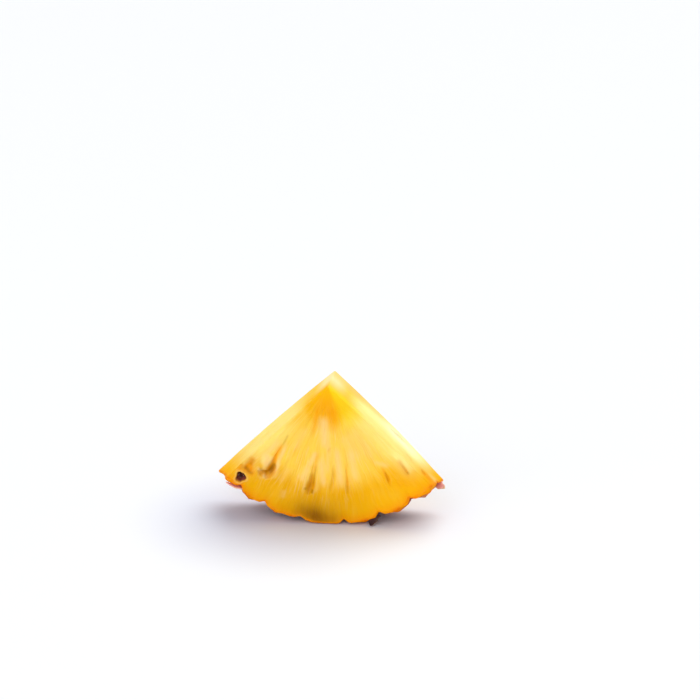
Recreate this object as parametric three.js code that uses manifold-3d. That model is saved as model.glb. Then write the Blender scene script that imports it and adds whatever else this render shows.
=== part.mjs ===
// A quarter slice of a ripe pineapple, standing on its rind with the core edge up.
// Millimetres, +Z up. The shown face looks along -Y, +X is to its right, +Y is the back.
// A place in the slice is given by its reach from the core line, its angle from straight
// down (plus to the right) and its depth along Y.

import * as THREE from 'three';
import { mergeVertices } from 'three/addons/utils/BufferGeometryUtils.js';
import Module from 'manifold-3d';

// Driving dimensions
const FRUIT_RADIUS = 57;
const THICKNESS = 20;
const CUT_ANGLES = {
  left: { front: 45.6, back: 46.8 },
  right: { front: 45.9, back: 44.6 },
};
const BACK_FLARE = { left: 6.6, right: 4.4 };
const FRONT_TRIM = { middle: 0.6, sides: 1.3 };
const CUT_BOW = { left: 0.5, right: 0.8 };
const EDGE_ROUND = 0.5;
const CORE_LINE_X = 1.1;

// The eyes of the rind: two staggered rows, each eye named by its arc from the bottom
const EYE_PITCH = 15;
const EYE_DOME = 0.9;
const EYE_GROOVE = 1.5;
const GROOVE_WIDTH = 1.3;
const BRACT_RISE = 0.45;
const BRACT_TIP_RISE = 0.9;
const EYE_ROWS = [
  { depth: -7, arcs: [-44.5, -32.8, -21.5, -1.6, 14, 28, 42.5] },
  { depth: 7, arcs: [-51, -38.5, -26.7, -12, 5.5, 21, 35.5, 50] },
];

// Relief of the cut flesh
const FIBRE_HEIGHT = 0.16;
const FIBRE_COUNT = 46;
const SWELL_HEIGHT = 0.3;
const PULP_KNOBS = [
  { reach: 40.4, angle: -37.8, radius: 3.4, rise: 0.9 },
  { reach: 47.5, angle: -36.5, radius: 3.0, rise: 0.5 },
  { reach: 37.0, angle: -11.8, radius: 3.2, rise: 0.4 },
  { reach: 36.0, angle: 8.6, radius: 3.4, rise: 0.35 },
];

// Fissures between the fruitlets, each a spindle sunk into a face
const FRONT_FISSURES = [
  { from: [29.5, -35.6], to: [47.0, -32.8], width: 4.6, depth: 3.0, belly: 0.68 },
  { from: [45.0, -38.6], to: [43.6, -32.0], width: 3.2, depth: 2.2, belly: 0.6 },
  { from: [43.4, -44.0], to: [50.4, -38.6], width: 2.4, depth: 1.3, belly: 0.55 },
  { from: [26.6, -6.3], to: [45.8, -9.8], width: 2.8, depth: 2.3, belly: 0.74 },
  { from: [32.2, 4.9], to: [45.6, 0.6], width: 1.8, depth: 1.5, belly: 0.55 },
  { from: [33.4, 13.2], to: [44.9, 9.2], width: 1.4, depth: 0.9, belly: 0.6 },
  { from: [24.4, 1.8], to: [28.4, 1.2], width: 1.5, depth: 0.8, belly: 0.5 },
  { from: [39.8, 33.6], to: [46.8, 32.3], width: 1.7, depth: 1.1, belly: 0.6 },
  { from: [40.4, 43.4], to: [47.4, 42.0], width: 1.5, depth: 1.2, belly: 0.65 },
];
const BACK_FISSURE_COUNT = 7;
const BACK_FISSURE = { near: 30, far: 46, width: 2.2, depth: 1.9, spread: 12 };
const CUT_FISSURES = [
  { side: 'right', from: [40, -4], to: [47, -5.5], width: 1.4, depth: 0.9 },
  { side: 'right', from: [30, 4.5], to: [43, 5.5], width: 1.6, depth: 1.2 },
  { side: 'left', from: [28, 1], to: [40, 0], width: 1.5, depth: 1.0 },
  { side: 'left', from: [38, 6.5], to: [50, 5], width: 1.8, depth: 1.3 },
];

// Cups under the eyes that a cut has opened
const FRONT_CUP = { reach: 52.0, angle: -41.5, width: 3.9, height: 4.3, depth: 4.5 };
const BACK_CUP = { reach: 51.4, angle: 22, width: 4.0, height: 4.6, depth: 4.0 };
const CUT_CUP = { reach: 51.0, depth: -5.0, width: 3.0, height: 3.0, sink: 0.9 };

// Dried bract tips that stand clear of the rind: root and tip as [reach, angle, depth]
const BRACT_TIPS = [
  { root: [56.4, 19.2, -7.4], tip: [58.9, 16.2, -10.2], width: 3.2, thick: 0.9 },
  { root: [55.8, -38.2, -8.2], tip: [57.9, -44.2, -9.4], width: 3.0, thick: 1.0 },
  { root: [59.4, 42.6, 6.5], tip: [62.6, 44.9, 2.5], width: 4.0, thick: 1.0 },
];

// Fineness of the faceted skin
const FACE_STEPS = 30;
const DEPTH_STEPS = 12;
const GRID_CROWDING = 0.35;
const LATHE_SIDES = 8;
const LATHE_STEPS = 7;
const CUP_SIDES = 12;

const wasm = await Module();
wasm.setup();

const radians = THREE.MathUtils.degToRad;
const { clamp, lerp, smoothstep } = THREE.MathUtils;

// Repeatable draw between -1 and 1 for the nth of a kind
function draw(n, kind) {
  const swing = Math.sin(n * 12.9898 + kind * 78.233) * 43758.5453;
  return 2 * (swing - Math.floor(swing)) - 1;
}

// Solid from a closed three.js geometry, and back again
function solid(geometry) {
  const bare = geometry.index ? geometry.toNonIndexed() : geometry.clone();
  bare.deleteAttribute('normal');
  bare.deleteAttribute('uv');
  const merged = mergeVertices(bare, 1e-5);
  return new wasm.Manifold(new wasm.Mesh({
    numProp: 3,
    vertProperties: new Float32Array(merged.attributes.position.array),
    triVerts: new Uint32Array(merged.index.array),
  }));
}

function toGeometry(body) {
  const mesh = body.getMesh();
  const geometry = new THREE.BufferGeometry();
  geometry.setAttribute('position', new THREE.BufferAttribute(mesh.vertProperties, 3));
  geometry.setIndex(new THREE.BufferAttribute(mesh.triVerts, 1));
  geometry.computeVertexNormals();
  return geometry;
}

// The point at a reach, an angle in degrees and a depth
function pointAt(reach, angle, depth) {
  const turn = radians(angle);
  return new THREE.Vector3(
    CORE_LINE_X + reach * Math.sin(turn),
    depth,
    FRUIT_RADIUS - reach * Math.cos(turn),
  );
}

// Outline of the slice

// Angles of the two knife cuts, for a share of the thickness from front to back
function cutAngle(side, back) {
  return lerp(CUT_ANGLES[side].front, CUT_ANGLES[side].back, back);
}

// The fruit is stouter behind, most of all toward the two cuts, and a little slimmer in front
function plainRadius(angle, back) {
  const flare = angle < 0 ? BACK_FLARE.left : BACK_FLARE.right;
  const wider = flare * Math.pow(Math.abs(angle) / 45, 1.6) * Math.pow(back, 1.2);
  const trim = lerp(FRONT_TRIM.middle, FRONT_TRIM.sides, smoothstep(Math.abs(angle), 5, 25));
  return FRUIT_RADIUS + wider - trim * (1 - back);
}

// Height of the rind over the plain radius: domed eyes, grooves between, a bract on each
function rindRelief(arc, depth) {
  const eyes = EYE_ROWS.flatMap((row) => row.arcs.map((eyeArc) => {
    const across = arc - eyeArc;
    const along = depth - row.depth;
    return { across, along, distance: Math.hypot(across, along) };
  }));
  eyes.sort((a, b) => a.distance - b.distance);
  const [nearest, second] = eyes;
  const toGroove = (second.distance - nearest.distance) / 2;
  const size = EYE_PITCH / 2;
  const dome = EYE_DOME * (1 - Math.pow(nearest.distance / size, 2) * 0.8);
  const groove = EYE_GROOVE * Math.exp(-Math.pow(toGroove / GROOVE_WIDTH, 2));
  const clear = 1 - Math.exp(-Math.pow(toGroove / GROOVE_WIDTH / 1.4, 2));
  const bract = BRACT_RISE * clear * smoothstep(nearest.along, -1.6, 0.8);
  const tip = BRACT_TIP_RISE * Math.exp(-Math.pow(nearest.distance / 1.7, 2));
  return dome - groove + bract + tip;
}

// Relief of the two flat faces, counted outward from the face
function faceRelief(reach, angle, face) {
  const share = reach / FRUIT_RADIUS;
  const turn = radians(angle);
  const fibres = FIBRE_HEIGHT * share * Math.sin(turn * FIBRE_COUNT + 1.7 * Math.sin(reach / 6 + face));
  const swell = SWELL_HEIGHT * Math.sin(turn * 7 + face * 2.1) * Math.sin(share * 4.2 + face);
  let knobs = 0;
  if (face === 0) {
    const here = pointAt(reach, angle, 0);
    for (const knob of PULP_KNOBS) {
      const away = here.distanceTo(pointAt(knob.reach, knob.angle, 0));
      knobs += knob.rise * Math.exp(-Math.pow(away / knob.radius, 2) * 2);
    }
  }
  return fibres + swell * smoothstep(share, 0.1, 0.5) + knobs;
}

// The slice is a block whose one long edge becomes the core line, the two sides there the
// knife cuts, and the two far sides the rind
function roundedBlockPoint(point, size) {
  const inner = point.clone().clamp(
    new THREE.Vector3().addScalar(EDGE_ROUND),
    size.clone().subScalar(EDGE_ROUND),
  );
  const outward = point.clone().sub(inner);
  if (outward.lengthSq() > 0) outward.setLength(EDGE_ROUND);
  return inner.add(outward);
}

function slicePoint(block) {
  const reach = Math.max(block.x, block.y);
  const near = reach > 0 ? Math.min(block.x, block.y) / reach / 2 : 0.5;
  const share = block.x >= block.y ? 1 - near : near;
  const back = clamp(block.z / THICKNESS, 0, 1);
  let depth = block.z - THICKNESS / 2;
  let angle = lerp(-cutAngle('left', back), cutAngle('right', back), share);

  // Both knife cuts swell a little between the core and the rind
  const outward = reach / FRUIT_RADIUS;
  const bow = Math.sin(Math.PI * clamp(outward, 0, 1)) / Math.max(reach, 1);
  angle -= THREE.MathUtils.radToDeg(CUT_BOW.left * bow) * Math.max(0, 1 - share * 4);
  angle += THREE.MathUtils.radToDeg(CUT_BOW.right * bow) * Math.max(0, share * 4 - 3);

  const plain = plainRadius(angle, back);
  const relief = rindRelief(radians(angle) * FRUIT_RADIUS, depth) * Math.pow(outward, 6);
  const atFront = 1 - smoothstep(back, 0, 0.3);
  const atBack = smoothstep(back, 0.7, 1);
  depth -= atFront * faceRelief(reach, angle, 0);
  depth += atBack * faceRelief(reach, angle, 1);
  return pointAt(plain * outward + relief, angle, depth);
}

function sliceBody() {
  const size = new THREE.Vector3(FRUIT_RADIUS, FRUIT_RADIUS, THICKNESS);
  const geometry = new THREE.BoxGeometry(1, 1, 1, FACE_STEPS, FACE_STEPS, DEPTH_STEPS);
  const places = geometry.attributes.position;
  const crowd = (t) => t - GRID_CROWDING * Math.sin(2 * Math.PI * t) / (2 * Math.PI);
  const point = new THREE.Vector3();
  for (let i = 0; i < places.count; i += 1) {
    point.fromBufferAttribute(places, i).addScalar(0.5);
    point.set(crowd(point.x), crowd(point.y), crowd(point.z)).multiply(size);
    const placed = slicePoint(roundedBlockPoint(point, size));
    places.setXYZ(i, placed.x, placed.y, placed.z);
  }
  splitShapely(geometry);
  return solid(geometry);
}

// Each four-sided cell of a box is two triangles, split here along the diagonal that
// leaves no sliver
function splitShapely(geometry) {
  const places = geometry.attributes.position;
  const corner = (i) => new THREE.Vector3().fromBufferAttribute(places, i);
  const area = (a, b, c) => new THREE.Triangle(corner(a), corner(b), corner(c)).getArea();
  const corners = geometry.index;
  for (let i = 0; i < corners.count; i += 6) {
    const [a, b, d, , c] = [0, 1, 2, 3, 4].map((k) => corners.getX(i + k));
    const kept = Math.min(area(a, b, d), area(b, c, d));
    const swapped = Math.min(area(a, b, c), area(a, c, d));
    if (swapped > kept) [a, b, c, a, c, d].forEach((v, k) => corners.setX(i + k, v));
  }
}

// A spindle between two points, flattened across its length: its belly is where it is widest
function spindle({ start, end, width, depth, belly = 0.5, inward }) {
  const length = start.distanceTo(end);
  const profile = [];
  for (let i = 0; i <= LATHE_STEPS; i += 1) {
    const t = i / LATHE_STEPS;
    const bend = Math.log(0.5) / Math.log(belly);
    const girth = i === 0 || i === LATHE_STEPS ? 0 : Math.pow(Math.sin(Math.PI * Math.pow(t, bend)), 0.8);
    profile.push(new THREE.Vector2(girth / 2, t * length));
  }
  const geometry = new THREE.LatheGeometry(profile, LATHE_SIDES);
  geometry.scale(width, 1, 2 * depth);
  const along = end.clone().sub(start).normalize();
  const sideways = new THREE.Vector3().crossVectors(along, inward).normalize();
  const down = new THREE.Vector3().crossVectors(sideways, along);
  geometry.applyMatrix4(new THREE.Matrix4().makeBasis(sideways, along, down).setPosition(start));
  return solid(geometry);
}

function faceFissures() {
  const into = new THREE.Vector3(0, 1, 0);
  const front = FRONT_FISSURES.map(({ from, to, ...shape }) => spindle({
    start: pointAt(...from, -THICKNESS / 2),
    end: pointAt(...to, -THICKNESS / 2),
    inward: into,
    ...shape,
  }));
  const back = Array.from({ length: BACK_FISSURE_COUNT }, (_, n) => {
    const angle = (n - (BACK_FISSURE_COUNT - 1) / 2) * BACK_FISSURE.spread + 2 * draw(n, 1);
    const size = 1 + 0.3 * draw(n, 2);
    return spindle({
      start: pointAt(BACK_FISSURE.near + 3 * draw(n, 3), angle, THICKNESS / 2),
      end: pointAt(BACK_FISSURE.far + 2 * draw(n, 4), angle + 2.5 * draw(n, 5), THICKNESS / 2),
      width: BACK_FISSURE.width * size,
      depth: BACK_FISSURE.depth * size,
      belly: 0.65,
      inward: into,
    });
  });
  return [...front, ...back];
}

// Direction out of a knife cut
function cutNormal(side) {
  const sign = side === 'left' ? -1 : 1;
  const turn = radians(cutAngle(side, 0.5));
  return new THREE.Vector3(sign * Math.cos(turn), 0, Math.sin(turn));
}

function cutPoint(side, reach, depth) {
  const sign = side === 'left' ? -1 : 1;
  const back = depth / THICKNESS + 0.5;
  const bow = CUT_BOW[side] * Math.sin(Math.PI * reach / FRUIT_RADIUS);
  return pointAt(reach, sign * cutAngle(side, back), depth).addScaledVector(cutNormal(side), bow);
}

function cutFissures() {
  return CUT_FISSURES.map(({ side, from, to, ...shape }) => spindle({
    start: cutPoint(side, ...from),
    end: cutPoint(side, ...to),
    inward: cutNormal(side),
    ...shape,
  }));
}

// An egg-shaped cup, its long axis sunk into the face
function cup(centre, width, height, sink, turn) {
  const geometry = new THREE.SphereGeometry(0.5, CUP_SIDES, CUP_SIDES - 4);
  geometry.scale(width, 2 * sink, height);
  geometry.rotateY(turn);
  geometry.translate(centre.x, centre.y, centre.z);
  return solid(geometry);
}

function openedCups() {
  const { reach, depth, width, height, sink } = CUT_CUP;
  const side = new THREE.SphereGeometry(0.5, CUP_SIDES, CUP_SIDES - 4);
  side.scale(width, height, 2 * sink);
  side.lookAt(cutNormal('right'));
  const place = cutPoint('right', reach, depth);
  side.translate(place.x, place.y, place.z);
  return [
    cup(pointAt(FRONT_CUP.reach, FRONT_CUP.angle, -THICKNESS / 2),
      FRONT_CUP.width, FRONT_CUP.height, FRONT_CUP.depth, -radians(FRONT_CUP.angle)),
    cup(pointAt(BACK_CUP.reach, BACK_CUP.angle, THICKNESS / 2),
      BACK_CUP.width, BACK_CUP.height, BACK_CUP.depth, -radians(BACK_CUP.angle)),
    solid(side),
  ];
}

// A dried bract tip: a thin plate that narrows and curls outward from its root
function bractTip({ root, tip, width, thick }) {
  const start = pointAt(...root);
  const end = pointAt(...tip);
  const along = end.clone().sub(start);
  const rind = start.clone().sub(new THREE.Vector3(CORE_LINE_X, start.y, FRUIT_RADIUS)).normalize();
  const sideways = new THREE.Vector3().crossVectors(along, rind).normalize();
  const out = new THREE.Vector3().crossVectors(sideways, along).normalize();
  const geometry = new THREE.BoxGeometry(1, 1, 1, 4, 8, 1);
  const places = geometry.attributes.position;
  for (let i = 0; i < places.count; i += 1) {
    const t = places.getY(i) + 0.5;
    const across = places.getX(i);
    const taper = Math.pow(1 - 0.92 * t * t, 0.8);
    const curl = 0.7 * Math.sin(Math.PI * t) - 1.6 * across * across * taper;
    const point = start.clone()
      .addScaledVector(along, t * 1.15 - 0.15)
      .addScaledVector(sideways, across * width * taper)
      .addScaledVector(out, curl + places.getZ(i) * thick * (1 - 0.5 * t));
    places.setXYZ(i, point.x, point.y, point.z);
  }
  return solid(geometry);
}

// What the slice's own weight flattens where it stands
function underTheFloor() {
  const size = 4 * FRUIT_RADIUS;
  const geometry = new THREE.BoxGeometry(size, size, size);
  geometry.translate(0, 0, -size / 2);
  return solid(geometry);
}

function pineappleChunk() {
  let body = sliceBody();
  for (const tool of [...faceFissures(), ...cutFissures(), ...openedCups()]) {
    body = body.subtract(tool);
  }
  for (const flake of BRACT_TIPS) body = body.add(bractTip(flake));
  body = body.subtract(underTheFloor());
  const flesh = new THREE.MeshStandardMaterial({ color: 0xf6c23a, roughness: 0.35, metalness: 0 });
  const mesh = new THREE.Mesh(toGeometry(body), flesh);
  mesh.name = 'pineapple_chunk';
  return mesh;
}

const chunk = new THREE.Group();
chunk.add(pineappleChunk());

export default chunk;
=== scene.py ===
"""A quarter slice of a ripe pineapple in a pale studio.

The slice stands on its rind with the core edge up. A place in it is given in millimetres
and degrees: its reach from the core line, its angle from straight down, plus to the right,
and its depth along Y. The shown face looks along -Y.
"""

import math
from types import SimpleNamespace
from typing import NamedTuple

import bmesh
import bpy
import numpy as np
from mathutils import Matrix, Vector, noise


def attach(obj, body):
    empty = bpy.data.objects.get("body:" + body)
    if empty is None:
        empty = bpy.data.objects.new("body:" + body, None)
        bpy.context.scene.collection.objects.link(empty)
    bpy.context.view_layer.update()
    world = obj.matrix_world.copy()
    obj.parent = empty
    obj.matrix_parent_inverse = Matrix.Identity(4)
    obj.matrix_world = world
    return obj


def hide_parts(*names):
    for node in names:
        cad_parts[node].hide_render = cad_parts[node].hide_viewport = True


bl_info = {
    "name": "Pineapple Slice",
    "version": (1, 0, 0),
    "blender": (4, 5, 0),
    "location": "View3D > Sidebar > Pineapple",
    "description": "Builds a quarter slice of ripe pineapple and the studio it stands in",
    "category": "Object",
}

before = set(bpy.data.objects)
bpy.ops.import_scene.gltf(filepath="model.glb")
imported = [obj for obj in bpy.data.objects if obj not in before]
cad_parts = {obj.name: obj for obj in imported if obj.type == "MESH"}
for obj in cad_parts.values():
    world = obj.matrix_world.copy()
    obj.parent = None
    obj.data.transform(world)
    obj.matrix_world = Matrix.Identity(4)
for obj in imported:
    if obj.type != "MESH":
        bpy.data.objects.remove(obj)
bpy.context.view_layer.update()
NODE = "pineapple_chunk"
MM = 0.001

# The picture's width in pixels, the sensor's in millimetres, and the pixel where the front
# end of the core edge lies
PICTURE = 700
SENSOR = 36
CORE_PIXEL = (328, 386.5)


class Knob(NamedTuple):
    """A low rise of pulp on the shown face, at a reach and angle."""

    place: tuple
    radius: float
    rise: float


class Fissure(NamedTuple):
    """A slit between the fruitlets. Its ends are a reach and angle, on a knife cut a reach
    and depth."""

    start: tuple
    end: tuple
    width: float
    depth: float
    belly: float = 0.5


class Cup(NamedTuple):
    """The cup under an eye that a cut has opened, placed as a fissure's ends are."""

    place: tuple
    width: float
    height: float
    sink: float


class Stroke(NamedTuple):
    """A soft stroke of colour on the shown face, from one reach and angle to another."""

    start: tuple
    end: tuple
    width: float
    strength: float


class Flake(NamedTuple):
    """A dried bract tip at the rim, its root and tip as reach, angle and depth."""

    root: tuple
    tip: tuple
    width: float
    thick: float
    roll: float = 0.0
    fresh: float = 0.0
    dark: float = 0.0


class Blade(NamedTuple):
    """A bract or sepal of an eye, its turn around the eye, where its root starts, its run
    toward the eye and its half width."""

    turn: float
    root: float
    run: float
    wide: float
    curl: float
    lift: float


# The eyes of the rind: two staggered rows by depth, each eye named by its arc from the bottom
EYE_ROWS = (
    (-7, (-44.5, -32.8, -21.5, -1.6, 14, 28, 42.5)),
    (7, (-51, -38.5, -26.7, -12, 5.5, 21, 35.5, 50)),
)
EYES = [(arc, depth) for depth, arcs in EYE_ROWS for arc in arcs]
EYE_BLADES = (
    Blade(turn=0, root=6.0, run=8.4, wide=5.4, curl=0.9, lift=0.34),
    Blade(turn=180, root=5.9, run=5.8, wide=3.2, curl=0.45, lift=0.2),
    Blade(turn=118, root=6.0, run=5.8, wide=3.0, curl=0.4, lift=0.16),
    Blade(turn=-118, root=6.0, run=5.8, wide=3.0, curl=0.4, lift=0.18),
)

PULP_KNOBS = (
    Knob((40.4, -37.8), radius=3.4, rise=0.9),
    Knob((47.5, -36.5), radius=3.0, rise=0.5),
    Knob((37.0, -11.8), radius=3.2, rise=0.4),
    Knob((36.0, 8.6), radius=3.4, rise=0.35),
)
FRONT_FISSURES = (
    Fissure((28.5, -36.3), (46.4, -32.3), width=3.5, depth=2.3, belly=0.8),
    Fissure((45.5, -38.2), (44.3, -32.2), width=2.8, depth=1.5, belly=0.6),
    Fissure((43.0, -43.8), (49.6, -41.2), width=3.0, depth=0.65, belly=0.55),
    Fissure((27.6, -8.0), (45.8, -10.2), width=3.2, depth=1.6, belly=0.78),
    Fissure((31.2, 5.2), (44.6, 1.0), width=1.9, depth=0.7, belly=0.55),
    Fissure((31.4, 13.0), (45.4, 9.8), width=1.2, depth=0.6, belly=0.6),
    Fissure((24.4, 1.8), (28.4, 1.2), width=1.3, depth=0.5, belly=0.5),
    Fissure((39.4, 33.4), (47.0, 31.6), width=1.2, depth=0.6, belly=0.6),
    Fissure((40.4, 43.4), (47.4, 42.0), width=1.0, depth=0.55, belly=0.65),
)
CUT_FISSURES = {
    "right": (
        Fissure((40, -4), (47, -5.5), width=1.4, depth=0.9),
        Fissure((30, 4.5), (43, 5.5), width=1.6, depth=1.2),
    ),
    "left": (
        Fissure((28, 1), (40, 0), width=1.5, depth=1.0),
        Fissure((38, 6.5), (50, 5), width=1.8, depth=1.3),
    ),
}
BACK_FISSURE_COUNT = 7
FRONT_CUP = Cup((52.0, -41.5), width=3.9, height=4.3, sink=4.5)
BACK_CUP = Cup((51.4, 22.0), width=4.0, height=4.6, sink=4.0)
CUT_CUP = Cup((51.0, -5.0), width=3.0, height=3.0, sink=0.9)
RIM_FLAKES = (
    Flake((55.8, 18.6, -8.0), (58.9, 16.4, -10.4), width=4.4, thick=1.2, roll=60, dark=1.0),
    Flake((55.8, -38.2, -8.2), (57.9, -44.2, -9.4), width=3.0, thick=1.0, fresh=1.0),
    Flake((59.4, 42.6, 6.5), (62.6, 44.9, 2.5), width=4.0, thick=1.0, fresh=1.0),
)

# Peach bundles of fibres, orange flesh, and brown marks at the lower ends of the fissures. One
# peach stroke is a painted highlight on a knob of pulp, and the brown marks are partly painted
# shade in the hollows.
PEACH_STROKES = (
    Stroke((13.0, -8.4), (26.0, -2.4), 1.9, 0.9),
    Stroke((28.0, -10.2), (34.9, -13.0), 0.9, 0.9),
    Stroke((34.5, -13.0), (41.6, -15.2), 1.3, 0.8),
    Stroke((30.5, -6.0), (42.0, -2.4), 1.2, 0.8),
    Stroke((25.6, 7.5), (42.5, 7.0), 1.4, 0.85),
    Stroke((27.5, 18.4), (41.0, 15.8), 1.5, 0.7),
    Stroke((20.0, 27.6), (35.0, 32.1), 2.6, 0.35),
    Stroke((21.0, 17.0), (33.0, 22.0), 2.6, 0.35),
    Stroke((35.6, 30.6), (40.6, 37.0), 0.9, 0.55),
    Stroke((24.0, 1.0), (36.0, -0.6), 1.1, 0.45),
    Stroke((30.0, -33.8), (44.6, -30.3), 0.7, 0.85),
    Stroke((45.4, -39.0), (46.8, -31.6), 0.7, 1.0),
    Stroke((46.6, -32.0), (38.0, -30.0), 0.6, 0.9),
    # Painted highlight on the knob of pulp over the left fissure
    Stroke((38.0, -38.4), (42.6, -36.6), 1.6, 1.0),
    Stroke((30.0, -39.0), (41.0, -40.6), 1.3, 0.6),
    Stroke((38.0, -24.0), (46.0, -25.5), 1.3, 0.3),
    Stroke((20.0, -27.0), (31.0, -26.0), 1.6, 0.35),
    Stroke((47.5, -22.0), (51.0, -21.0), 1.2, 0.35),
)
ORANGE_STROKES = (
    Stroke((9.0, 14.0), (20.0, 6.4), 2.2, 0.3),
    Stroke((9.5, -25.0), (22.0, -15.8), 0.8, 0.5),
    Stroke((31.0, -36.4), (41.0, -34.0), 1.0, 0.75),
    Stroke((28.0, -8.2), (36.0, -8.8), 0.7, 0.4),
    Stroke((32.0, 12.8), (44.5, 10.0), 0.5, 0.35),
    Stroke((43.0, -43.8), (49.4, -41.0), 1.2, 0.8),
    Stroke((48.5, -46.0), (51.6, -43.6), 1.6, 0.7),
    Stroke((47.6, -44.0), (49.4, -37.6), 1.5, 0.85),
    Stroke((39.0, 33.2), (46.6, 31.8), 0.6, 0.6),
    Stroke((40.0, 43.5), (48.0, 42.0), 0.9, 0.42),
    Stroke((48.0, 34.0), (53.0, 44.0), 2.4, 0.25),
)
# Brown marks, partly painted shade in the fissures' hollows
BROWN_STROKES = (
    Stroke((33.5, -8.2), (43.4, -8.4), 0.45, 0.36),
    Stroke((37.0, -9.8), (46.6, -10.4), 1.1, 0.2),
    Stroke((43.6, -12.2), (44.8, -11.8), 0.5, 0.37),
    Stroke((43.8, -8.2), (45.4, -8.4), 0.6, 0.43),
    Stroke((26.2, -37.4), (31.6, -35.4), 0.4, 0.31),
    Stroke((39.8, -32.3), (45.0, -32.6), 0.8, 0.52),
    Stroke((44.9, -38.0), (45.2, -32.6), 0.9, 0.36),
    Stroke((34.0, 4.4), (42.0, 1.8), 0.5, 0.12),
    Stroke((41.5, 10.8), (45.0, 9.9), 0.5, 0.15),
    Stroke((41.2, 33.2), (46.0, 32.0), 0.4, 0.22),
    Stroke((41.0, 43.4), (46.8, 42.3), 0.6, 0.12),
    Stroke((46.4, 42.5), (47.5, 42.2), 0.6, 0.2),
    Stroke((43.4, -43.2), (46.8, -42.4), 0.9, 0.22),
    Stroke((48.0, -45.4), (50.4, -43.6), 1.0, 0.12),
    Stroke((48.4, -43.8), (49.4, -38.4), 0.8, 0.5),
)


def tint(red, green, blue):
    """A linear colour from screen values between 0 and 255."""
    shares = [channel / 255 for channel in (red, green, blue)]
    return [s / 12.92 if s <= 0.04045 else ((s + 0.055) / 1.055) ** 2.4 for s in shares]


def smooth(value, low, high):
    """0 at low and 1 at high, easing between them."""
    share = np.clip((value - low) / (high - low), 0, 1)
    return share * share * (3 - 2 * share)


def bell(value, middle, width):
    """1 at the middle, fading on both sides of it."""
    return np.exp(-(((value - middle) / width) ** 2))


def blot(across, down, centre, wide, tall):
    """1 at the middle of a soft oval."""
    return bell(across, centre[0], wide) * bell(down, centre[1], tall)


def lerp(first, second, share):
    return first + (second - first) * share


def draw(n, kind):
    """Repeatable draw between -1 and 1 for the nth of a kind."""
    swing = math.sin(n * 12.9898 + kind * 78.233) * 43758.5453
    return 2 * (swing - math.floor(swing)) - 1


def rough(points, scale, seed=0):
    """Soft noise between about -1 and 1 at each point."""
    moved = points * np.array(scale) + np.array((17.3, 5.1, 9.7)) * seed
    return np.array([noise.noise(point) for point in moved.tolist()])


def unit(vectors):
    return vectors / np.maximum(np.linalg.norm(vectors, axis=-1, keepdims=True), 1e-9)


def settle(places, soft=1.0):
    """Presses the lowest millimetre flat on the floor, each layer still over the next."""
    height = places[:, 2]
    places[:, 2] = np.where(height < soft, soft * np.exp(np.minimum(height / soft - 1, 0)), height)


def number(name, description, default, **limits):
    return bpy.props.FloatProperty(name=name, description=description, default=default, **limits)


def length(name, description, default):
    return number(name, description, default * MM, unit="LENGTH")


def degrees(name, description, default):
    return number(name, description, math.radians(default), subtype="ANGLE")


def steps(name, description, default, least):
    return bpy.props.IntProperty(name=name, description=description, default=default, min=least)


def colour(name, description, default):
    return bpy.props.FloatVectorProperty(
        name=name, description=description, subtype="COLOR", min=0, max=1, default=tint(*default)
    )


class SliceSizes(bpy.types.PropertyGroup):
    """Sizes of the slice"""

    fruit_radius: length("Fruit radius", "From the core line to the rind", 57)
    thickness: length("Thickness", "From the shown face to the back", 20)
    core_line: length("Core line", "How far right of the origin the core line stands", 1.1)
    edge_round: length("Edge rounding", "Radius of the edges that the knife left", 0.8)
    eye_pitch: length("Eye pitch", "From one eye of the rind to the next", 15)
    eye_dome: length("Eye dome", "Rise of each eye over the rind", 0.9)
    groove_depth: length("Groove depth", "Depth of the grooves between the eyes", 1.5)
    groove_width: length("Groove width", "Half the width of a groove", 1.3)
    fibre_height: length("Fibre height", "Height of the fibres on a cut face", 0.16)
    swell_height: length("Swell height", "Height of the broad swells on a cut face", 0.3)
    grain_height: length("Grain height", "Height of the fine grain of the flesh", 0.14)
    face_steps: steps("Face steps", "Cells along each edge of a cut face", 150, 20)
    depth_steps: steps("Depth steps", "Cells through the thickness", 44, 8)


class FleshColours(bpy.types.PropertyGroup):
    """Colours of the flesh"""

    core: colour("Core", "Flesh at the core edge", (255, 234, 170))
    light: colour("Light flesh", "Flesh between the core and the middle", (255, 208, 74))
    golden: colour("Golden flesh", "Ripest flesh toward the rind", (250, 183, 0))
    orange: colour("Orange flesh", "Spot under the core edge and the rim", (252, 160, 0))
    peach: colour("Peach fibres", "Pale bundles of fibres", (255, 210, 126))
    # This pale flesh is laid more strongly on the right cut than on the left, as painted light
    cut: colour("Knife cut", "Pale flesh of the two knife cuts", (255, 250, 162))
    # Dark olive of a patch near the bottom of the rim, also laid as painted shade over the lower
    # middle and in the fissures' hollows
    dark_olive_and_painted_shade: colour("Bruise", "Glassy patch near the rim", (150, 96, 4))
    hollow: colour("Hollow", "Inside of the fissures", (238, 164, 4))
    # Painted shade: the floors of the fissures are darkened with this colour
    painted_shade_hollow_floor: colour("Deep hollow", "Floor of the fissures", (184, 114, 4))
    cup: colour("Eye cup", "Inside of the opened cups", (176, 98, 80))
    # Painted highlight along the right cut, toward its back edge
    painted_gleam: colour("Gleam", "Palest flesh, on the right cut", (255, 255, 210))
    lemon: colour("Lemon flesh", "Flesh by the right cut, toward the core", (253, 218, 20))


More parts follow.
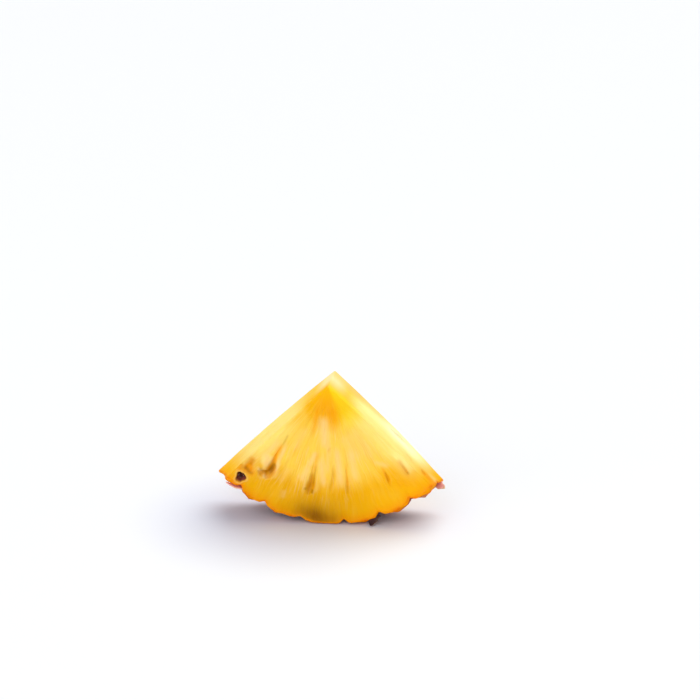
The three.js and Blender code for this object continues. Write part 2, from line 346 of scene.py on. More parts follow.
class RindColours(bpy.types.PropertyGroup):
    """Colours of the rind"""

    skin: colour("Skin", "Fresh skin at the rim", (236, 112, 4))
    amber: colour("Amber", "Middle of each eye", (226, 122, 40))
    red: colour("Red", "Shoulders of each eye", (166, 66, 26))
    plum: colour("Plum", "Papery edge of each eye", (112, 52, 56))
    groove: colour("Groove", "Grooves between the eyes", (34, 18, 28))
    cream: colour("Cream", "Dry margins of the bracts", (238, 196, 140))
    dry: colour("Dry tip", "Dried tips of the bracts", (92, 58, 46))
    soot: colour("Soot", "Darkest dried tips", (52, 26, 30))
    ash: colour("Ash", "Pale ends of the dry florets", (150, 138, 134))
    blush: colour("Blush", "Fresh pink of the bracts at the rim", (246, 184, 180))
    rose: colour("Rose", "Fresh red of the bracts at the rim", (206, 74, 52))


class StudioSettings(bpy.types.PropertyGroup):
    """The studio and its camera"""

    turn: degrees("Turn", "How far right of the slice the camera stands", 7.43)
    pitch: degrees("Pitch", "How far the camera looks down", 18.43)
    distance: length("Distance", "From the camera to the core edge", 1089)
    lens: number("Lens", "Focal length on a 36 mm sensor", 146, unit="CAMERA")
    sky: number("Sky", "Strength of the pale surroundings", 0.55, min=0)
    key: number("Key light", "Strength of the light behind on the right", 1.82, min=0)
    fill: number("Fill light", "Strength of the light in front", 1.66, min=0)
    floor: colour("Floor", "Colour of the floor", (237, 239, 243))
    # Painted shadow: the floor is darker and bluer next to the slice
    shade: colour("Floor by the slice", "Colour of the floor next to the slice", (213, 216, 229))


def back_fissures():
    """The fissures of the back face, no two alike."""
    for n in range(BACK_FISSURE_COUNT):
        angle = (n - (BACK_FISSURE_COUNT - 1) / 2) * 12 + 2 * draw(n, 1)
        size = 1 + 0.3 * draw(n, 2)
        yield Fissure(
            start=(30 + 3 * draw(n, 3), angle),
            end=(46 + 2 * draw(n, 4), angle + 2.5 * draw(n, 5)),
            width=2.2 * size * (1 + 0.35 * draw(n, 6)),
            depth=1.8 * size,
            belly=0.62 + 0.14 * draw(n, 7),
        )


class SliceForm:
    """The slice's shape, in millimetres and degrees. Its faces are the front and back, which
    are flat and look along Y, and the left and right knife cuts."""

    FLAT = {"front": -1, "back": 1}
    SIGN = {"left": -1, "right": 1}
    # Each cut's angle in front and behind, how far it bulges, and the fruit's flare at it
    CUT_ANGLES = {"left": (45.6, 46.8), "right": (45.9, 44.6)}
    BOW = {"left": 0.5, "right": 0.8}
    FLARE = {"left": 6.6, "right": 4.4}
    TRIM = {"middle": 0.6, "sides": 1.3}
    # What the bract and its tip add to an eye, and the even rise of the rind beside a cut
    BRACT_RISE = 0.45
    TIP_RISE = 0.9
    EVEN_RISE = 0.9
    # The reach at which places across the fibres are as far apart as in the fruit
    FIBRE_REACH = 40

    def __init__(self, sizes):
        self.radius = sizes.fruit_radius / MM
        self.thickness = sizes.thickness / MM
        self.half = self.thickness / 2
        self.core_line = sizes.core_line / MM
        self.edge = sizes.edge_round / MM
        self.eye_size = sizes.eye_pitch / MM / 2
        self.dome = sizes.eye_dome / MM
        self.groove_depth = sizes.groove_depth / MM
        self.groove_width = sizes.groove_width / MM
        self.fibre = sizes.fibre_height / MM
        self.swell = sizes.swell_height / MM
        self.grain = sizes.grain_height / MM

    def point_at(self, reach, angle, depth):
        turn = np.radians(angle)
        across = self.core_line + reach * np.sin(turn)
        height = self.radius - reach * np.cos(turn)
        return np.stack(np.broadcast_arrays(across, depth, height), axis=-1).astype(float)

    def back_share(self, depth):
        """0 on the front face and 1 on the back."""
        return depth / self.thickness + 0.5

    def cut_angle(self, side, back):
        front, rear = self.CUT_ANGLES[side]
        return lerp(front, rear, back)

    def outward(self, face):
        """The way that a face looks."""
        if face in self.FLAT:
            return np.array((0.0, self.FLAT[face], 0.0))
        turn = math.radians(self.cut_angle(face, 0.5))
        return np.array((self.SIGN[face] * math.cos(turn), 0.0, math.sin(turn)))

    def face_point(self, face, reach, place):
        """A point of a face, by its reach and its angle, or on a cut its depth."""
        if face in self.FLAT:
            return self.point_at(reach, place, self.FLAT[face] * self.half)
        angle = self.SIGN[face] * self.cut_angle(face, self.back_share(place))
        bow = self.BOW[face] * math.sin(math.pi * reach / self.radius)
        return self.point_at(reach, angle, place) + self.outward(face) * bow

    def plain_radius(self, angle, back):
        """The fruit is stouter behind and toward the cuts, and a little slimmer in front."""
        flare = np.where(angle < 0, self.FLARE["left"], self.FLARE["right"])
        wider = flare * (np.abs(angle) / 45) ** 1.6 * back**1.2
        trim = lerp(self.TRIM["middle"], self.TRIM["sides"], smooth(np.abs(angle), 5, 25))
        return self.radius + wider - trim * (1 - back)

    def nearest_eye(self, arc, depth):
        """Offset from the nearest eye, across and along, and the way left to its groove."""
        eyes = np.array(EYES)
        across = arc[:, None] - eyes[:, 0]
        along = depth[:, None] - eyes[:, 1]
        away = np.hypot(across, along)
        first, second = np.argsort(away, axis=1).T[:2]
        each = np.arange(len(arc))
        to_groove = (away[each, second] - away[each, first]) / 2
        return across[each, first], along[each, first], to_groove

    def rind_relief(self, arc, depth):
        """Domed eyes with grooves between, and a bract and its tip on each eye. The grooves
        are shallower by the shown face, and beside the cuts the relief evens out."""
        across, along, to_groove = self.nearest_eye(arc, depth)
        away = np.hypot(across, along)
        dome = self.dome * (1 - 0.8 * (away / self.eye_size) ** 2)
        groove = self.groove_depth * bell(to_groove, 0, self.groove_width)
        shown = smooth(depth, -4, -9)
        groove *= 1 - shown * (0.15 + 0.55 * bell(arc, -11.5, 3))
        groove *= 1 - 0.85 * smooth(-arc, 39, 43)
        clear = 1 - bell(to_groove, 0, 1.4 * self.groove_width)
        bract = self.BRACT_RISE * clear * smooth(along, -1.6, 0.8)
        tip = self.TIP_RISE * bell(away, 0, 1.7)
        beside_cut = 0.8 * smooth(np.abs(arc), 41, 46) * smooth(depth, -9, -6)
        return lerp(dome - groove + bract + tip, self.EVEN_RISE, beside_cut)

    def face_relief(self, reach, angle, face):
        """Fine fibres and broad swells, and on the shown face the knobs of pulp."""
        share = reach / self.radius
        turn = np.radians(angle)
        shift = 1 if face == "back" else 0
        fibres = self.fibre * share * np.sin(turn * 46 + 1.7 * np.sin(reach / 6 + shift))
        swell = self.swell * np.sin(turn * 7 + shift * 2.1) * np.sin(share * 4.2 + shift)
        knobs = 0
        if face == "front":
            here = self.point_at(reach, angle, 0)
            for knob in PULP_KNOBS:
                away = np.linalg.norm(here - self.point_at(*knob.place, 0), axis=1)
                knobs = knobs + knob.rise * bell(away, 0, knob.radius / math.sqrt(2))
        return fibres + swell * smooth(share, 0.1, 0.5) + knobs

    def rind_point(self, arc, depth, lift):
        """A point over the rind's relief."""
        angle = np.degrees(arc / self.radius)
        plain = self.plain_radius(angle, np.clip(self.back_share(depth), 0, 1))
        return self.point_at(plain + self.rind_relief(arc, depth) + lift, angle, depth)

    def from_rim(self, angle, depth):
        """How far along the rind the nearest cut or face is."""
        back = self.back_share(depth)
        left = np.radians(angle + self.cut_angle("left", back)) * self.radius
        right = np.radians(self.cut_angle("right", back) - angle) * self.radius
        return np.minimum.reduce((self.half - np.abs(depth), left, right))

    def round_block(self, block):
        """The block with its edges rounded, and the way each point faces."""
        size = np.array((self.radius, self.radius, self.thickness))
        inner = np.clip(block, self.edge, size - self.edge)
        facing = unit(block - inner)
        return inner + facing * self.edge, facing

    def shape(self, block):
        """Wraps a block into the slice. Its one long edge becomes the core line, the two
        sides there the knife cuts, and the two far sides the rind."""
        block, facing = self.round_block(block)
        x, y, z = block.T
        reach = np.maximum(x, y)
        near = np.minimum(x, y) / np.maximum(reach, 1e-6) / 2
        share = np.where(x >= y, 1 - near, near)
        back = np.clip(z / self.thickness, 0, 1)
        depth = z - self.half
        angle = lerp(-self.cut_angle("left", back), self.cut_angle("right", back), share)
        far = reach / self.radius
        bow = np.degrees(np.sin(np.pi * np.clip(far, 0, 1)) / np.maximum(reach, 1))
        angle -= self.BOW["left"] * bow * np.maximum(0, 1 - share * 4)
        angle += self.BOW["right"] * bow * np.maximum(0, share * 4 - 3)
        arc = np.radians(angle) * self.radius
        relief = self.rind_relief(arc, depth) * far**6
        bulge = smooth(back, 0.7, 1) * self.face_relief(reach, angle, "back")
        bulge -= (1 - smooth(back, 0, 0.3)) * self.face_relief(reach, angle, "front")
        plain = self.plain_radius(angle, back)
        across, along, to_groove = self.nearest_eye(arc, depth)
        return SimpleNamespace(
            places=self.point_at(plain * far + relief, angle, depth + bulge),
            reach=reach,
            angle=angle,
            depth=depth,
            weights={
                "left": np.maximum(-facing[:, 0], 0),
                "right": np.maximum(-facing[:, 1], 0),
                "front": np.maximum(-facing[:, 2], 0),
                "back": np.maximum(facing[:, 2], 0),
            },
            rind=np.maximum(facing[:, 0], 0) + np.maximum(facing[:, 1], 0),
            eye_across=across,
            eye_along=along,
            to_groove=to_groove,
            sunk=np.zeros(len(reach)),
            cup=np.zeros(len(reach)),
            lip=np.zeros(len(reach)),
        )

    def open_fissure(self, skin, face, fissure):
        """Sinks a spindle into a face, widest at its belly, with soft raised lips."""
        weight = skin.weights[face]
        into = -self.outward(face)
        start = self.face_point(face, *fissure.start)
        way = self.face_point(face, *fissure.end) - start
        span = np.linalg.norm(way)
        along = way / span
        sideways = np.cross(along, into)
        offset = skin.places - start
        run = offset @ along / span
        wander = 0.1 * fissure.width * np.sin(run * 7 + span)
        side = offset @ sideways + wander
        inside = np.clip(run, 1e-4, 1 - 1e-4)
        girth = np.sin(math.pi * inside ** (math.log(0.5) / math.log(fissure.belly))) ** 0.8
        girth = girth * (1 + 0.1 * np.sin(run * 13 + fissure.width * 5))
        half = np.maximum(0.62 * fissure.width * girth**0.7, 1e-3)
        share = np.abs(side) / half
        beside = (run > 0) & (run < 1) & (weight > 0)
        open_here = (share < 1) & beside
        slope = np.where(side > 0, 1.3, 1.9)
        pulled = np.where(open_here, share**0.9, share)
        sink = fissure.depth * girth * (1 - np.minimum(pulled, 1) ** 2) ** slope
        sink = np.where(open_here, sink, 0)
        shift = np.where(open_here, np.sign(side) * half * (pulled - share), 0)
        lip = np.where(beside, bell(share, 1.2, 0.4) * girth, 0)
        rise = 0.08 * fissure.depth * lip
        skin.places += np.outer((sink - rise) * weight, into)
        skin.places += np.outer(shift * weight, sideways)
        skin.sunk = np.maximum(skin.sunk, sink * weight)
        skin.lip = np.maximum(skin.lip, lip * weight * min(fissure.depth / 2, 1))

    def open_cup(self, skin, face, cup, up):
        """Sinks an egg-shaped cup into a face, with a raised rim."""
        weight = skin.weights[face]
        into = -self.outward(face)
        sideways = np.cross(up, into)
        offset = skin.places - self.face_point(face, *cup.place)
        side = offset @ sideways
        rise = offset @ up
        turn = np.arctan2(rise, side)
        outline = 0.98 + 0.13 * np.cos(3 * turn - 1.45) + 0.05 * np.sin(5 * turn)
        share = np.hypot(side / (cup.width / 2), rise / (cup.height / 2)) / outline
        open_here = (share < 1) & (weight > 0)
        pulled = np.where(open_here, np.sqrt(share), share)
        drop = np.where(open_here, cup.sink * np.sqrt(np.maximum(1 - pulled**2, 0)), 0)
        shift = np.where(open_here, pulled / np.maximum(share, 1e-6) - 1, 0)
        rim = bell(share, 1.22, 0.2) * (weight > 0)
        skin.places += np.outer((drop - 0.08 * cup.sink * rim) * weight, into)
        skin.places += (np.outer(side, sideways) + np.outer(rise, up)) * (shift * weight)[:, None]
        deep = cup.sink > 2
        skin.cup = np.maximum(skin.cup, deep * smooth(drop, 0.1, 0.8) * weight)
        skin.sunk = np.maximum(skin.sunk, (1 - deep) * drop * weight)
        skin.lip = np.maximum(skin.lip, rim * weight * (1 if deep else 0.15))

    def open_hollows(self, skin):
        """Every fissure and cup of the slice."""
        fissures = {"front": FRONT_FISSURES, "back": back_fissures(), **CUT_FISSURES}
        for face, slits in fissures.items():
            for fissure in slits:
                self.open_fissure(skin, face, fissure)
        # Keeps the knob's painted highlight clear of the hollow colour
        from_knob = np.linalg.norm(skin.places - self.face_point("front", 40.4, -38.2), axis=1)
        skin.sunk *= 1 - 0.9 * bell(from_knob, 0, 2.2)
        for face, cup in (("front", FRONT_CUP), ("back", BACK_CUP)):
            to_core = unit(self.face_point(face, 0, 0) - self.face_point(face, *cup.place))
            self.open_cup(skin, face, cup, to_core)
        self.open_cup(skin, "right", CUT_CUP, np.array((0.0, 1.0, 0.0)))

    def along_fibres(self, skin, sway=0):
        """Places with the fibres laid straight: across them, along them and in depth."""
        across = np.radians(skin.angle) * self.FIBRE_REACH + sway
        return np.stack((across, skin.reach, skin.depth), axis=1)

    def add_grain(self, skin):
        """Fine fibres and pulp on the flesh, wrinkles on the rind."""
        fibre = self.along_fibres(skin)
        streaks = rough(fibre, (0.5, 0.08, 0.45), seed=1)
        pulp = rough(fibre, (1.5, 0.5, 1.3), seed=2)
        lobes = rough(fibre, (0.17, 0.03, 0.17), seed=6)
        height = self.grain * smooth(skin.reach, 4, 20) * (streaks + 0.35 * pulp + 1.8 * lobes)
        turn = np.arctan2(skin.eye_along, skin.eye_across)
        away = np.hypot(skin.eye_across, skin.eye_along)
        clear = smooth(away, 0.8, 3) * smooth(skin.to_groove, 0.2, 1.6)
        wrinkles = 0.12 * clear * np.sin(turn * 11 + 2 * streaks)
        crumple = 0.16 * rough(fibre, (1.1, 1.1, 1.1), seed=3)
        out = unit(skin.places - self.point_at(0, 0, skin.places[:, 1]))
        push = out * ((wrinkles + crumple) * skin.rind)[:, None]
        for face, weight in skin.weights.items():
            push += np.outer(height * weight, self.outward(face))
        skin.places += push


class FleshPaint:
    """How ripe, orange, peach, dark olive or pale the flesh is at each point, from 0 to 1. Some of
    them hold painted shade, painted light and painted highlights.
    """

    def __init__(self, form, skin):
        turn = np.radians(skin.angle)
        self.skin = skin
        self.reach = skin.reach
        self.angle = skin.angle
        self.depth = skin.depth
        self.across = self.reach * np.sin(turn)
        self.down = self.reach * np.cos(turn)
        self.under = form.radius - self.reach
        self.shown = -form.half
        self.front = smooth(skin.weights["front"], 0.1, 0.7)
        self.behind = smooth(skin.weights["back"], 0.1, 0.7)
        self.left = skin.weights["left"]
        self.right = skin.weights["right"]
        self.cut = np.maximum(self.left, self.right)
        self.far = self.right * smooth(self.depth, 1, 8)
        self.upper = 1 - smooth(self.reach, 20, 32)
        self.corner = self.right * blot(self.reach, self.depth, (53, -5), 3.6, 3.4)
        places = np.stack((self.across, self.down, self.depth), axis=1)
        self.wobble = rough(places, (0.1, 0.06, 0.1), seed=4)

    def behind_face(self, start, end):
        """0 until so far behind the shown face, and 1 from a depth on."""
        return smooth(self.depth, self.shown + start, end)

    def strokes(self, strokes, across):
        """The sum of the strokes, each fading over its sides and ends."""
        total = np.zeros(len(across))
        for stroke in strokes:
            ends = [
                (reach * math.sin(math.radians(angle)), reach * math.cos(math.radians(angle)))
                for reach, angle in (stroke.start, stroke.end)
            ]
            start, end = np.array(ends)
            way = end - start
            span = np.linalg.norm(way)
            aside = across - start[0]
            below = self.down - start[1]
            run = (aside * way[0] + below * way[1]) / span**2
            side = (aside * way[1] - below * way[0]) / span
            share = smooth(run, -0.12, 0.2) * (1 - smooth(run, 0.75, 1.1))
            total += stroke.strength * share * bell(side, 0, stroke.width)
        return total

    def ripe(self):
        spot = np.hypot(self.across, self.down - 7.6)
        ring = (1 - smooth(spot + self.wobble, 6.5, 12)) * (1 - 0.8 * self.behind_face(0.1, 3))
        ripe = smooth(self.reach + 3.5 * self.wobble, 34, 47)
        ripe = np.maximum(ripe, ring * (1 - 0.6 * self.right))
        ripe += 0.3 * bell(self.reach, 17, 6) * (1 - smooth(self.angle, -26, -8))
        ripe += 0.25 * bell(self.reach, 41, 6) * smooth(self.angle, 16, 34)
        return np.minimum(ripe, 1)

    def orange(self):
        spot = np.hypot(self.across - 0.4, self.down - 8.8)
        orange = 0.5 * np.exp(-((spot / 5.4) ** 3)) * (1 - 0.9 * self.behind_face(1, 2))
        rim = 1 - smooth(self.under, 0.2, 5)
        orange += 0.75 * rim * (1 - 0.4 * self.cut * self.behind_face(2, 3))
        orange += self.front * self.strokes(ORANGE_STROKES, self.across)
        orange += 0.6 * self.behind * self.strokes(ORANGE_STROKES, 2 - self.across)
        orange += 0.35 * self.far * bell(self.reach, 12, 5)
        return np.clip(orange + 0.8 * self.corner, 0, 1)

    def peach(self):
        peach = 0.4 * self.skin.lip + 0.5 * self.far * self.upper
        peach += self.front * self.strokes(PEACH_STROKES, self.across)
        peach += 0.8 * self.behind * self.strokes(PEACH_STROKES, 4 - self.across)
        peach += 0.6 * self.right * blot(self.reach, self.depth, (54.5, 0), 3, 2.4)
        return np.clip(peach, 0, 1)

    def dark_olive_and_painted_shade(self):
        """A dark olive patch near the bottom of the rim, painted shade over the lower middle,
        darker patches low on the back, and brown marks at the feet of the fissures that are partly
        painted shade in their hollows.
        """
        # A dark olive patch near the bottom of the rim
        aside = self.across + 4
        away = np.hypot(aside / 8.8, (self.down - 54.8 - 0.15 * aside) / 3.9)
        dark_olive_and_painted_shade = 0.67 * np.exp(-(away**2.2))
        # Painted shade over the lower middle of the shown face, and more of it toward the rim
        dark_olive_and_painted_shade += 0.3 * blot(self.across, self.down, (-5.5, 50.5), 11, 5)
        dark_olive_and_painted_shade += 0.15 * smooth(self.reach, 37, 46) * (1 - 0.5 * smooth(self.angle, 12, 24))
        dark_olive_and_painted_shade *= self.front * smooth(self.under, -0.3, 1.6)
        # Darker patches low on the back face
        dark_olive_and_painted_shade += 0.45 * self.behind * blot(self.across, self.down, (12, 53), 7, 3.5)
        dark_olive_and_painted_shade += 0.3 * self.behind * blot(self.across, self.down, (-14, 50), 9, 4)
        # Brown marks at the feet of the fissures, front and back, partly painted shade in their
        # hollows
        marks = []
        for n, fissure in enumerate(back_fissures()):
            foot = lerp(np.array(fissure.start), np.array(fissure.end), 0.55)
            marks.append(Stroke(tuple(foot), fissure.end, 0.5, 0.4 - 0.03 * n))
        dark_olive_and_painted_shade += self.behind * self.strokes(marks, self.across)
        dark_olive_and_painted_shade += self.front * self.strokes(BROWN_STROKES, self.across)
        return np.clip(dark_olive_and_painted_shade + 0.1 * self.corner, 0, 1)

    def pale(self):
        """Paler flesh on the knife cuts and beside them on the shown face. The right cut is
        painted paler than the left and paler still toward its back edge, as painted light, and the
        knob over the left fissure carries a painted highlight.
        """
        # Painted light: the right cut is made paler than the left, most toward its back edge
        pale = 0.5 * self.left + self.right * (0.55 + 0.45 * self.behind_face(2, 4))
        pale *= 1 - 0.6 * self.far * self.upper
        from_cut = self.reach * np.sin(np.radians(np.clip(46 - np.abs(self.angle), 0, 46)))
        beside = np.where(self.angle < 0, 0.35 * smooth(self.reach, 16, 28), 0.42)
        beside *= 1 - smooth(from_cut, 0.5, 8)
        lower = smooth(self.reach, 34, 40) * (1 - smooth(self.reach, 46, 49))
        beside += 0.35 * lower * smooth(self.angle, 41.6, 43.2)
        band = smooth(self.reach + 3 * self.right, 11, 21) * (1 - smooth(self.reach, 42, 54))
        # Painted highlight on the knob of pulp over the left fissure
        knob = np.hypot(self.across + 24.6, self.down - 32)
        pale = band * (pale + beside * (1 - self.cut))
        return np.maximum(pale, 0.95 * self.front * bell(knob, 0, 2.3))

    def core(self):
        near = 1 - smooth(self.reach, 2, 9.5)
        return near * self.behind_face(0.2, 2) * (1 - 0.5 * self.far)

    # A painted highlight on the right cut, toward its back edge
    def painted_gleam(self):
        return 0.8 * self.right * blot(self.reach, self.depth, (35, 4), 10, 4.5)


class Shade:
    """A value that varies over a surface. Sums on it add their Math nodes."""

    def __init__(self, finish, socket):
        self.finish = finish
        self.socket = socket

    def __add__(self, other):
        return self.finish.sum("ADD", self, other)

    def __radd__(self, other):
        return self.finish.sum("ADD", other, self)

    def __sub__(self, other):
        return self.finish.sum("SUBTRACT", self, other)

    def __rsub__(self, other):
        return self.finish.sum("SUBTRACT", other, self)

    def __mul__(self, other):
        return self.finish.sum("MULTIPLY", self, other)

    def __rmul__(self, other):
        return self.finish.sum("MULTIPLY", other, self)

    def __truediv__(self, other):
        return self.finish.sum("DIVIDE", self, other)

    def __rtruediv__(self, other):
        return self.finish.sum("DIVIDE", other, self)

    def __pow__(self, other):
        return self.finish.sum("POWER", self, other)

    def __abs__(self):
        return self.finish.sum("ABSOLUTE", self, 0.0)

    def clipped(self):
        return self.finish.sum("MINIMUM", self.finish.sum("MAXIMUM", self, 0.0), 1.0)

    def swing(self, width, middle=0.0):
        """A value between 0 and 1, spread over this width around a middle."""
        return (self - 0.5) * width + middle

    def fade(self, low, high):
        """0 at low and 1 at high, easing between them."""
        node = self.finish.node(
            "ShaderNodeMapRange",
            {"interpolation_type": "SMOOTHSTEP"},
            {"Value": self, "From Min": low, "From Max": high, "To Min": 0.0, "To Max": 1.0},
        )
        return Shade(self.finish, node.outputs["Result"])


class Finish:
    """One procedural material."""

    def __init__(self, name):
        self.material = bpy.data.materials.new(name)
        self.material.use_nodes = True
        self.tree = self.material.node_tree
        self.surface = self.tree.nodes["Principled BSDF"]

    def node(self, kind, settings=None, inputs=None):
        """Any node: its settings first, then the values or links of its sockets."""
        made = self.tree.nodes.new(kind)
        for name, value in (settings or {}).items():
            setattr(made, name, value)
        for name, value in (inputs or {}).items():
            self.plug(made.inputs[name], value)
        return made

    def plug(self, socket, value):
        if isinstance(value, Shade):
            self.tree.links.new(value.socket, socket)
        elif isinstance(value, bpy.types.NodeSocket):
            self.tree.links.new(value, socket)
        else:
            socket.default_value = value

    def sum(self, operation, first, second):
        node = self.node("ShaderNodeMath", {"operation": operation}, {0: first, 1: second})
        return Shade(self, node.outputs[0])

    def vector(self, name):
        return self.node("ShaderNodeAttribute", {"attribute_name": name}).outputs["Vector"]

    def values(self, name):
        """The three values of a vector attribute."""
        parts = self.node("ShaderNodeSeparateXYZ", None, {0: self.vector(name)})
        return [Shade(self, socket) for socket in parts.outputs]

    def place(self):
        return self.node("ShaderNodeTexCoord").outputs["Object"]

    def stretched(self, vector, scale):
        return self.node("ShaderNodeMapping", None, {"Vector": vector, "Scale": scale}).outputs[0]

    def grain(self, vector, scale, detail=3.0, roughness=0.55):
        """Noise between 0 and 1, stretched along the axes by the scale."""
        inputs = {"Scale": 1.0, "Detail": detail, "Roughness": roughness}
        inputs["Vector"] = self.stretched(vector, scale)
        return Shade(self, self.node("ShaderNodeTexNoise", None, inputs).outputs[0])

    def sacs(self, vector, scale):
        """Distance from the middles of soft cells, stretched along the axes by the scale."""
        inputs = {"Vector": self.stretched(vector, scale), "Scale": 1.0, "Smoothness": 0.6}
        node = self.node("ShaderNodeTexVoronoi", {"feature": "SMOOTH_F1"}, inputs)
        return Shade(self, node.outputs["Distance"])

    def mix(self, factor, first, second):
        node = self.node(
            "ShaderNodeMix",
            {"data_type": "RGBA", "clamp_factor": True},
            {0: factor, 6: self.opaque(first), 7: self.opaque(second)},
        )
        return node.outputs[2]

    @staticmethod
    def opaque(value):
        if isinstance(value, bpy.types.NodeSocket):
            return value
        return (*value, 1.0)

    def bump(self, height, distance, strength):
        inputs = {"Height": height, "Distance": distance, "Strength": strength}
        return self.node("ShaderNodeBump", None, inputs).outputs["Normal"]

    def set(self, **inputs):
        for name, value in inputs.items():
            self.plug(self.surface.inputs[name.replace("_", " ")], value)
        return self.material


class SliceFinish(Finish):
    """Wet flesh with radial fibres, and the scaly rind under it."""

    def __init__(self, form, flesh, rind):
        super().__init__("wet_flesh_and_rind")
        self.flesh = flesh
        self.rind = rind
        self.ripe, self.orange, self.peach = self.values("tone")
        self.on_rind, self.flat, self.from_rim = self.values("rim")
        self.arc, self.reach, self.depth = self.values("fibre")
        self.under = form.radius - self.reach
        self.fibre = self.vector("fibre")
        self.bundles = self.grain(self.fibre, (0.3, 0.05, 0.3), 2.0)
        self.threads = self.grain(self.fibre, (1.2, 0.11, 1.1), 3.0, 0.6)
        self.strands = self.grain(self.fibre, (2.0, 0.08, 1.8), 2.0, 0.5)
        self.hairs = self.grain(self.fibre, (4.6, 0.4, 4.2), 2.0)
        self.cells = self.grain(self.fibre, (2.0, 1.3, 2.0))
        self.patches = self.grain(self.fibre, (0.22, 0.3, 0.5), 2.0)

    def fibres(self):
        """Ripe flesh with pale and torn fibres in it."""
        ripe = self.ripe + self.bundles.swing(0.8) + self.threads.swing(0.5)
        colour = self.mix(ripe.clipped(), self.flesh.light, self.flesh.golden)
        clean = self.arc.fade(4, 12) * self.reach.fade(36, 42)
        fibrous = self.under.fade(2, 14) * self.under.fade(54, 42) * (1 - clean * 0.7)
        pale = self.threads.fade(0.54, 0.74) * 0.35 + self.strands.fade(0.55, 0.64) * 0.4
        colour = self.mix(pale * fibrous, colour, self.flesh.peach)
        torn = self.strands.fade(0.43, 0.34) * 0.3 + self.hairs.fade(0.42, 0.25) * 0.2
        return self.mix(torn * self.under.fade(54, 38), colour, self.flesh.hollow)

    def tinted(self, colour):
        """The flesh with the broad changes of its colour, among them painted light and a painted
        highlight on the right cut.
        """
        flesh, threads = self.flesh, self.threads
        pale, core, painted_gleam = self.values("layer")
        # Paler flesh of the cuts, with painted light on the right cut
        colour = self.mix((pale * threads.swing(0.7, 0.9)).clipped(), colour, flesh.cut)
        # Painted highlight on the right cut
        colour = self.mix(painted_gleam, colour, flesh.painted_gleam)
        orange = (self.orange * threads.swing(0.5, 1.0)).clipped()
        colour = self.mix(orange, colour, flesh.orange)
        lemon = self.arc.fade(6, 24) * self.reach.fade(22, 14) * self.depth.fade(-4, -9)
        colour = self.mix(lemon * 0.6, colour, flesh.lemon)
        colour = self.mix(core * threads.swing(0.3, 0.9), colour, flesh.core)
        peach = (self.peach * threads.swing(0.6, 0.95)).clipped()
        return self.mix(peach, colour, flesh.peach)

    def hollowed(self, colour):
        """The flesh with its fissures, darkened toward their floors as painted shade, the dark
        olive patch and the painted shade toward the rim, and the opened cups.
        """
        flesh, threads, strands = self.flesh, self.threads, self.strands
        dark_olive_and_painted_shade, sunk, cup = self.values("marks")
        # The fissures take the hollow colour, and their floors a darker painted shade
        torn = sunk + (strands + threads - 1.0) * sunk.fade(0.0, 0.4) * 1.4
        colour = self.mix(torn.fade(0.2, 1.5) * 0.75, colour, flesh.hollow)
        colour = self.mix(torn.fade(1.4, 2.6) * 0.75, colour, flesh.painted_shade_hollow_floor)
        # Dark olive patch, painted shade toward the rim, and brown marks in the fissures
        dark_olive_and_painted_shade = dark_olive_and_painted_shade * (self.bundles.swing(0.25, 1.0) + strands.swing(0.3))
        colour = self.mix(dark_olive_and_painted_shade.clipped(), colour, flesh.dark_olive_and_painted_shade)
        darker = [part * 0.7 for part in flesh.cup]
        return self.mix(cup, colour, self.mix(self.cells.fade(0.35, 0.65), darker, flesh.cup))

    def skinned(self, colour):
        """The flesh with the skin's line at the rim."""
        line = self.under.fade(1.7, 0.3) * (0.35 + self.patches.fade(0.42, 0.62) * 0.65)
        return self.mix(line * 0.85, colour, self.rind.skin)

    def shell(self):
        """The rind: its eyes, the grooves between them, and fresh skin along the cuts."""
        rind, patches, from_rim = self.rind, self.patches, self.from_rim
        across, along, to_groove = self.values("eye")
        away = (across * across + along * along) ** 0.5
        blotches = self.grain(self.fibre, (0.35, 0.35, 0.35), 4.0, 0.6)
        colour = self.mix((away / 6.5 + blotches.swing(0.8)).clipped(), rind.amber, rind.red)
        colour = self.mix(away.fade(3.6, 6.8) * blotches.fade(0.35, 0.6), colour, rind.plum)
        colour = self.mix(to_groove.fade(1.5, 0.1), colour, rind.groove)
        colour = self.mix((from_rim + blotches.swing(4.0)).fade(3.4, 1.8), colour, rind.skin)
        edge = from_rim.fade(2.6, 1.0) * patches.fade(0.65, 0.45)
        return self.mix(edge, colour, self.flesh.orange)

    def relief(self):
        relief = self.threads * 0.6 + self.strands * 0.6 + self.bundles * 0.5
        relief = relief + self.hairs * 0.22 + self.cells * 0.2
        relief = relief - self.sacs(self.fibre, (1.1, 0.42, 1.1)) * 0.3
        return relief * self.under.fade(56, 44)

    def finished(self):
        flesh = self.skinned(self.hollowed(self.tinted(self.fibres())))
        rough_rind = self.on_rind.fade(0.3, 0.7)
        return self.set(
            Base_Color=self.mix(self.on_rind.fade(0.35, 0.75), flesh, self.shell()),
            Roughness=self.cells.swing(0.2, 0.3) + rough_rind * 0.16,
            Coat_Weight=0.06 + (1 - rough_rind) * self.flat.fade(0.2, 0.8) * 0.09,
            Coat_Roughness=0.12,
            Specular_IOR_Level=0.0,
            Subsurface_Weight=0.15,
            Subsurface_Radius=(1.0, 0.55, 0.16),
            Subsurface_Scale=1.6 * MM,
            Normal=self.bump(self.relief(), 0.36 * MM, 0.85),
        )


